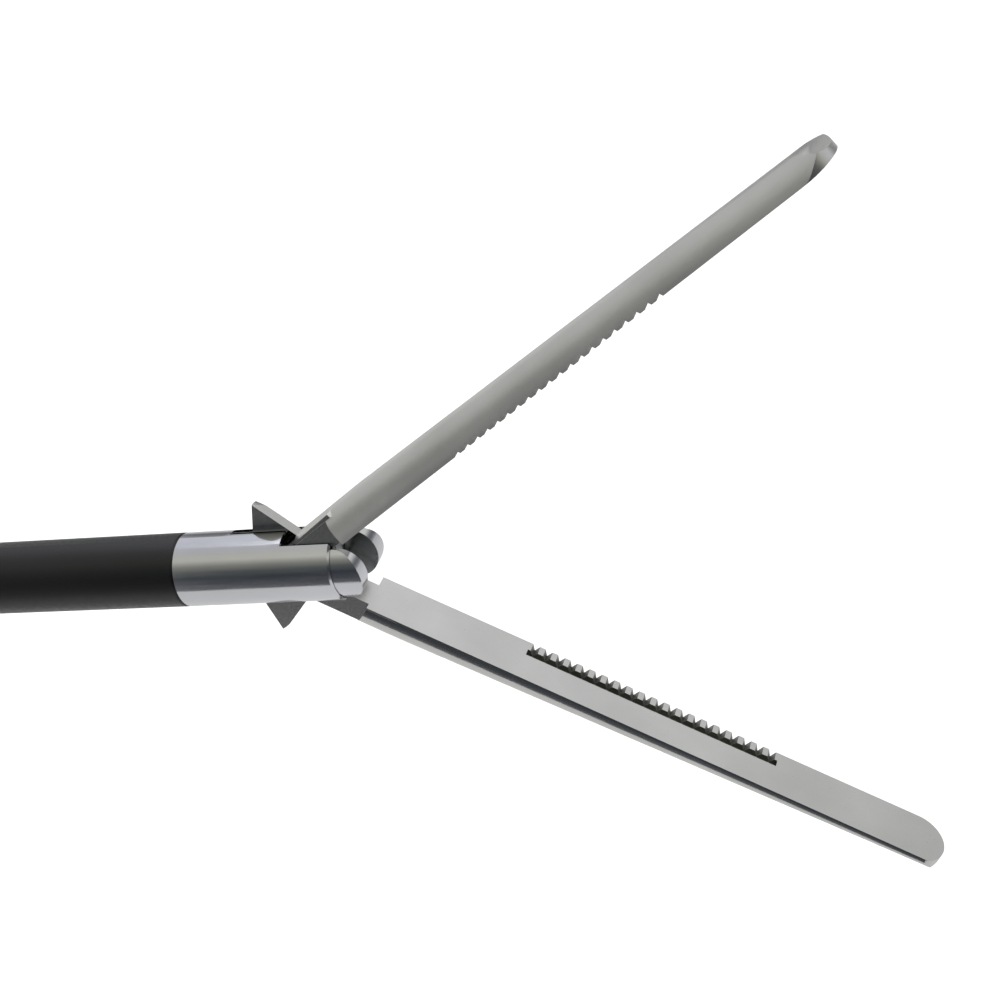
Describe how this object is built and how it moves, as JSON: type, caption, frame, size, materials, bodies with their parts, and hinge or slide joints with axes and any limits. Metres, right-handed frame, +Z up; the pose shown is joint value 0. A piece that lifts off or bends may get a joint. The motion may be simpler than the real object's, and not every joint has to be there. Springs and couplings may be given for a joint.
{
  "type": "laparoscopic grasper",
  "caption": "Five millimetre laparoscopic grasper with double-action toothed jaws, insulated shaft, rotation knob and ring handle.",
  "frame": {"origin": "on the shaft's axis at the mouth of the jaw sleeve", "axes": "+X along the shaft towards the jaws, +Z up in the plane in which the jaws open, the handle hangs towards -Z"},
  "size_m": [0.4348, 0.0206, 0.1216],
  "materials": {
    "polished_steel": "bright polished stainless steel",
    "satin_steel": "satin stainless steel",
    "insulation": "black heat-shrunk insulation",
    "black_plastic": "black moulded plastic, fine texture",
    "grey_plastic": "grey moulded plastic",
    "ptfe": "white fluoropolymer",
    "silicone": "red-brown silicone",
    "bronze": "plain bronze"
  },
  "bodies": {
    "handle": {"handle_left": "black_plastic", "handle_right": "black_plastic", "handle_screws": "polished_steel", "lever_axle": "satin_steel", "hf_post": "polished_steel", "hf_insulator": "grey_plastic", "contact_spring": "bronze"},
    "shaft": {"shaft_tube": "satin_steel", "shaft_insulation": "insulation", "jaw_sleeve": "polished_steel", "jaw_fork": "polished_steel", "jaw_pivot_pin": "polished_steel", "port_collar": "grey_plastic", "knob_spindle": "satin_steel", "rotation_knob": "black_plastic", "knob_grub_screw": "satin_steel", "rod_seal": "silicone", "seal_nut": "satin_steel"},
    "rod": {"drive_rod": "satin_steel", "rod_tongue": "satin_steel", "drive_pin": "polished_steel", "rod_ball": "polished_steel"},
    "upper": {"upper_jaw": "satin_steel"},
    "lower": {"lower_jaw": "satin_steel"},
    "lever": {"thumb_lever": "black_plastic", "ball_seat": "bronze", "axle_bushes": "ptfe"}
  },
  "joints": [
    {"name": "shaft_turn", "type": "hinge", "parent": "handle", "child": "shaft", "pos_m": [-0.3186, 0, 0], "axis": [1, 0, 0], "continuous": true},
    {"name": "lever_squeeze", "type": "hinge", "parent": "handle", "child": "lever", "pos_m": [-0.3402, 0, -0.0055], "axis": [0, -1, 0], "range_deg": [0, 15.63]},
    {"name": "rod_slide", "type": "slide", "parent": "shaft", "child": "rod", "axis": [-1, 0, 0], "range_m": [0, 0.0015]},
    {"name": "lower_jaw_close", "type": "hinge", "parent": "shaft", "child": "lower", "pos_m": [-0.0027, 0, 0], "axis": [0, -1, 0], "range_deg": [0, 32.5]},
    {"name": "upper_jaw_close", "type": "hinge", "parent": "shaft", "child": "upper", "pos_m": [-0.0027, 0, 0], "axis": [0, 1, 0], "range_deg": [0, 32.5]}
  ],
  "couplings": [
    {"joint": "rod_slide", "follows": "lever_squeeze", "m_per_rad": 0.0055},
    {"joint": "lower_jaw_close", "follows": "lever_squeeze", "ratio": 2.0798},
    {"joint": "upper_jaw_close", "follows": "lever_squeeze", "ratio": 2.0798}
  ]
}
